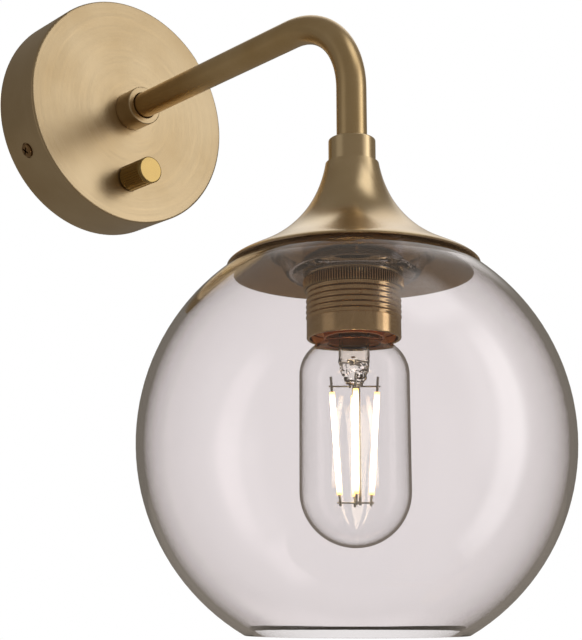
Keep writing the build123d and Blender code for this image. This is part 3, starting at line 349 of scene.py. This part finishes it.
# ---------------------------------------------------------------- glass and filaments
SMOKED = (0.918, 0.882, 0.888, 1.0)
SMOKED_EDGE = (0.60, 0.565, 0.56, 1.0)
CLEAR = (0.98, 0.98, 0.98, 1.0)
CLEAR_EDGE = (0.97, 0.96, 0.95, 1.0)
STEM_CLEAR = (1.0, 0.97, 0.92, 1.0)
STEM_EDGE = (0.96, 0.90, 0.82, 1.0)
EDGE_POWER = 5.0                 # how closely the deeper colour keeps to where the glass is seen edge on
RIPPLE_DEPTH = 0.4 * MM

GLOW = (1.0, 0.86, 0.62, 1.0)
GLOW_TIP = (1.0, 0.62, 0.18, 1.0)
GLOW_LEVEL = 6.0
GLOW_TIP_LEVEL = 2.0
GLOW_TIP_START = 0.80            # share of a filament's half length at which its tip begins


def clear_glass(name, tint, edge_tint, ripple, ior):
    """Blown glass that lets the lamps' light through, deeper in colour where it is seen edge on."""
    graph = material_graph(name)
    waves = graph.noise(graph.place(), scale=9, detail=2.0, roughness=0.4)
    edge = graph.math("POWER", graph.add("LayerWeight", Blend=0.5).outputs["Facing"], EDGE_POWER)
    glass = graph.add(
        "BsdfPrincipled",
        Base_Color=graph.blend(edge, tint, edge_tint),
        Roughness=0.0,
        IOR=ior,
        Transmission_Weight=1.0,
        Normal=graph.bump(waves, strength=ripple, distance=RIPPLE_DEPTH),
    )
    path = graph.add("LightPath").outputs
    passing = graph.math("MAXIMUM", path["Is Shadow Ray"], path["Is Diffuse Ray"])
    return graph.finish(graph.mix(passing, glass, graph.add("BsdfTransparent", Color=tint)))


def lit_filament(name):
    """Glowing strip, yellower and dimmer at its two tips."""
    graph = material_graph(name)
    low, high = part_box("lamp_filaments")
    middle = (low[2] + high[2]) / 2
    half = (high[2] - low[2]) / 2
    height = graph.split(graph.place())[2]
    away = graph.math("ABSOLUTE", graph.math("SUBTRACT", height, middle))
    tips = graph.spread(away, 0.0, 1.0, half * GLOW_TIP_START, half)
    glow = graph.blend(tips, GLOW, GLOW_TIP)
    return graph.finish(graph.add(
        "BsdfPrincipled",
        Base_Color=glow,
        Roughness=0.6,
        Emission_Color=glow,
        Emission_Strength=graph.spread(tips, GLOW_LEVEL, GLOW_TIP_LEVEL),
    ))


# ---------------------------------------------------------------- finishes of the carried-over pieces
# finish, axis it was turned about, light and dark tone, roughness, streak, ridge, pieces
TURNED_BRASS = (
    ("wall_brass", "wall", (204, 184, 150), (188, 165, 128), 0.34, 0.35, 0.12, ("wall_cover", "arm_collar")),
    ("bell_brass", "drop", (222, 200, 162), (206, 180, 138), 0.25, 0.15, 0.02, ("bell", "end_collar")),
    ("tube_brass", "drop", (216, 190, 146), (198, 168, 118), 0.30, 0.15, 0.02, ("arm_tube",)),
)
# finish, how it is made, light and dark tone, roughness, pieces
BRIGHT_BRASS = (
    ("aged_brass", polished_brass, (232, 206, 160), (186, 156, 112), 0.10, ("holder_cap", "holder_sleeve")),
    # ring_brass: its dark tone is painted shade in the grooves between the teeth, its light tone the brass's
    # own colour
    ("ring_brass", knurled_brass, (226, 198, 150), (70, 54, 36), 0.16, ("shade_ring",)),
    ("knob_brass", polished_brass, (186, 160, 106), (160, 134, 80), 0.20, ("dimmer_knob",)),
)
# finish, tone, roughness, scale of the grain, pieces
METALS = (
    ("screw_brass", (150, 120, 84), 0.20, 700, ("cover_screws",)),
    ("copper", (244, 172, 128), 0.40, 400, ("holder_shell", "lamp_cap")),
    ("zinc", (190, 192, 194), 0.35, 500, (
        "wall_bracket", "bracket_tabs", "arm_nipple", "arm_nut", "arm_washer", "end_nipple", "bell_nut",
        "dimmer_shaft", "dimmer_washer", "dimmer_nut", "dimmer_bush",
        "terminal_screws", "terminal_fixing_screw", "earth_screw")),
    ("terminal_metal", (206, 176, 110), 0.30, 500, (
        "terminal_barrels", "dimmer_tags", "centre_contact", "holder_terminals", "earth_tag")),
    ("lamp_nickel", (205, 202, 195), 0.22, 500, ("lamp_tip", "lamp_wires")),
)
# finish, tone, roughness, pieces
MOULDINGS = (
    ("rubber", (34, 34, 34), 0.75, ("cable_grommet",)),
    ("white_plastic", (232, 230, 222), 0.35, ("terminal_block",)),
    ("black_plastic", (36, 36, 38), 0.45, ("dimmer_case", "dimmer_lid")),
    ("lamp_cement", (196, 132, 92), 0.40, ("lamp_insulator",)),
    ("board_green", (40, 96, 58), 0.40, ("dimmer_board", "lamp_driver")),
    ("ceramic", (226, 220, 208), 0.20, ("holder_core",)),
    ("core_brown", (110, 66, 38), 0.35, ("live_lead",)),
    ("core_black", (40, 40, 40), 0.35, ("switched_lead",)),
    ("core_blue", (44, 92, 176), 0.35, ("neutral_lead",)),
    ("core_green", (120, 170, 50), 0.35, ("earth_lead",)),
)


def dress(material, *names):
    """Give carried-over pieces a material in place of their own."""
    for name in names:
        slots = nodes[name].data.materials
        slots.clear()
        slots.append(material)


def dress_all():
    """Dress every carried-over piece but lamp_stem, which is replaced."""
    for name, axis, light, dark, roughness, streak, ridge, pieces in TURNED_BRASS:
        dress(satin_brass(name, axis, colour(*light), colour(*dark), roughness, streak, ridge), *pieces)
    for name, make, light, dark, roughness, pieces in BRIGHT_BRASS:
        dress(make(name, colour(*light), colour(*dark), roughness), *pieces)
    for name, tone, roughness, grain, pieces in METALS:
        dress(plain_metal(name, colour(*tone), roughness, grain), *pieces)
    for name, tone, roughness, pieces in MOULDINGS:
        dress(moulded(name, colour(*tone), roughness), *pieces)
    dress(clear_film("washer_plastic", colour(170, 160, 140), roughness=0.3, cover=0.06), "shade_washers")
    dress(clear_glass("smoked_glass", SMOKED, SMOKED_EDGE, ripple=0.02, ior=1.5), "glass_globe")
    dress(clear_glass("bulb_glass", CLEAR, CLEAR_EDGE, ripple=0.02, ior=1.35), "lamp_envelope")
    dress(lit_filament("filament_glow"), "lamp_filaments")


# ---------------------------------------------------------------- lamp stem
def stem_outline():
    """Rings of the stem from its flared top down: height, width, depth and how far into the pinch each is."""
    low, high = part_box("lamp_stem")
    top_radius = (high[0] - low[0]) / 2
    rings = []
    for step in range(STEM_RINGS):
        height = high[2] + (low[2] - high[2]) * step / (STEM_RINGS - 1)
        flare = max(0.0, 1 - (high[2] - height) / STEM_FLARE)
        pinch = max(0.0, 1 - (height - low[2]) / STEM_PINCH)
        radius = STEM_R + (top_radius - STEM_R) * flare ** 2
        width = radius * (1 - STEM_NARROWS * pinch)
        depth = radius * (1 - STEM_FLATTENS * pinch ** 2)
        rings.append((height, width, depth, pinch))
    return rings


def stem_ring(mesh, height, width, depth, pinch):
    """One ring of vertices, unevenly dented where the glass is pinched."""
    ring = []
    for step in range(STEM_SIDES):
        angle = 2 * pi * step / STEM_SIDES
        place = Vector((width * cos(angle), depth * sin(angle), height))
        dent = noise.noise(place / STEM_DENT) * STEM_CRUMPLE * min(1.0, pinch / STEM_CLOSES)
        scale = 1 + dent / width
        ring.append(mesh.verts.new((place.x * scale, DROP_Y + place.y * scale, height)))
    return ring


def bridge(mesh, first, second):
    """Faces between two rings of vertices."""
    for step in range(len(first)):
        after = (step + 1) % len(first)
        mesh.faces.new((first[step], first[after], second[after], second[step]))


def lamp_stem():
    """Glass stem of the lamp: a hollow tube that ends in a crumpled pinch round the wires."""
    mesh = bmesh.new()
    outline = stem_outline()
    outer = [stem_ring(mesh, *ring) for ring in outline]
    inner = [
        stem_ring(mesh, height, width - STEM_WALL, depth - STEM_WALL, pinch)
        for height, width, depth, pinch in outline if pinch < STEM_CLOSES
    ]
    for rings in (outer, inner):
        for first, second in zip(rings, rings[1:]):
            bridge(mesh, first, second)
        mesh.faces.new(rings[-1])
    bridge(mesh, outer[0], inner[0])
    bmesh.ops.recalc_face_normals(mesh, faces=mesh.faces)
    data = bpy.data.meshes.new("blown_stem")
    mesh.to_mesh(data)
    mesh.free()
    for face in data.polygons:
        face.use_smooth = True
    piece = bpy.data.objects.new("blown_stem", data)
    scene.collection.objects.link(piece)
    data.materials.append(clear_glass("stem_glass", STEM_CLEAR, STEM_EDGE, ripple=0.3, ior=1.4))
    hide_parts("lamp_stem")
    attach(piece, "lamp")


# ---------------------------------------------------------------- floor, world, lamps and camera
def ray_kinds(graph):
    """Two sockets: 1 for a ray that was reflected, and 1 for the camera's own, straight or through glass."""
    path = graph.add("LightPath").outputs
    reflected = graph.math("GREATER_THAN", path["Glossy Depth"], NO_REFLECTION)
    passed = graph.math("SUBTRACT", path["Is Transmission Ray"], reflected)
    return reflected, graph.math("MAXIMUM", path["Is Camera Ray"], passed)


def floor():
    """Pale floor that takes the object's shadow and runs out into the white background."""
    height = cad_bounds[0][2] - FLOOR_DROP
    bpy.ops.mesh.primitive_plane_add(size=FLOOR_SIZE, location=(0, 0, height))
    plane = bpy.context.object
    plane.name = "studio_floor"
    graph = material_graph("floor_white")
    place = graph.place()
    x, y, _ = graph.split(place)
    grain = graph.noise(place, scale=40, detail=2.0, roughness=0.5)
    lit = graph.add("BsdfPrincipled", Base_Color=graph.blend(grain, FLOOR_DARK, FLOOR_LIGHT), Roughness=0.7)
    reflected, seen = ray_kinds(graph)
    shown = graph.math("MAXIMUM", seen, reflected)
    far = graph.math("MULTIPLY", graph.spread(graph.length(x, y), 0.0, 1.0, *FLOOR_LIT), shown)
    plain = graph.math("MAXIMUM", far, reflected)
    tone = graph.blend(seen, dimmed(STUDIO_WARM, STUDIO_FRONT), WHITE)
    backdrop = graph.add("Emission", Color=tone, Strength=1.0)
    plane.data.materials.append(graph.finish(graph.mix(plain, lit, backdrop)))


def world():
    """White behind the object and through the glass, a dimmer and warmer studio in the metal."""
    scene.world = bpy.data.worlds.new("studio")
    graph = Graph(scene.world, "OutputWorld")
    reflected, seen = ray_kinds(graph)
    toward_wall = graph.split(graph.add("TexCoord").outputs["Generated"])[1]
    level = graph.spread(toward_wall, STUDIO_FRONT, STUDIO_BACK, -1.0, 1.0)
    studio = graph.add("Background", Color=STUDIO_WARM, Strength=level)
    fill = graph.add("Background", Color=WHITE, Strength=STUDIO_FILL)
    backdrop = graph.add("Background", Color=WHITE, Strength=1.0)
    graph.finish(graph.mix(seen, graph.mix(reflected, fill, studio), backdrop))


def fade(graph, position):
    """1 in the middle of a softbox, falling smoothly to 0 at the edges of one direction."""
    middle = 0.5
    away = graph.math("ABSOLUTE", graph.math("SUBTRACT", position, middle))
    return graph.spread(away, 1.0, 0.0, middle - SOFTBOX_EDGE, middle, way="SMOOTHSTEP")


def soft_edges(lamp):
    """Let a lamp fade out towards all four edges."""
    graph = Graph(lamp, "OutputLight")
    across, up, _ = graph.split(graph.add("NewGeometry").outputs["Parametric"])
    strength = graph.math("MULTIPLY", fade(graph, across), fade(graph, up))
    graph.finish(graph.add("Emission", Strength=strength))


def softbox(name, direction, distance, width, height, radiance, tone):
    """Area lamp that fades out at its edges, aimed near the middle of the object."""
    lamp = bpy.data.lights.new(name, "AREA")
    lamp.shape = "RECTANGLE"
    lamp.size = width
    lamp.size_y = height
    lamp.energy = radiance * pi * width * height
    lamp.color = tone
    soft_edges(lamp)
    holder = bpy.data.objects.new(name, lamp)
    scene.collection.objects.link(holder)
    toward = Vector(direction).normalized()
    holder.location = SOFTBOX_TARGET + toward * distance
    holder.rotation_euler = toward.to_track_quat("Z", "Y").to_euler()


def camera():
    """Camera at the photograph's place and angle."""
    lens = bpy.data.cameras.new("studio_camera")
    holder = bpy.data.objects.new("studio_camera", lens)
    scene.collection.objects.link(holder)
    scene.camera = holder
    holder.location = CAMERA_AT
    back = Vector((
        sin(CAMERA_AZIMUTH) * cos(CAMERA_ELEVATION),
        -cos(CAMERA_AZIMUTH) * cos(CAMERA_ELEVATION),
        sin(CAMERA_ELEVATION),
    ))
    holder.rotation_euler = back.to_track_quat("Z", "Y").to_euler()
    lens.sensor_fit = "VERTICAL"
    lens.sensor_height = SENSOR_HEIGHT
    lens.lens = FOCAL_PX / IMAGE_HEIGHT_PX * SENSOR_HEIGHT
    lens.clip_start = NEAR_CLIP


dress_all()
lamp_stem()
floor()
world()
for row in SOFTBOXES:
    softbox(*row)
camera()
scene.view_settings.view_transform = "Standard"
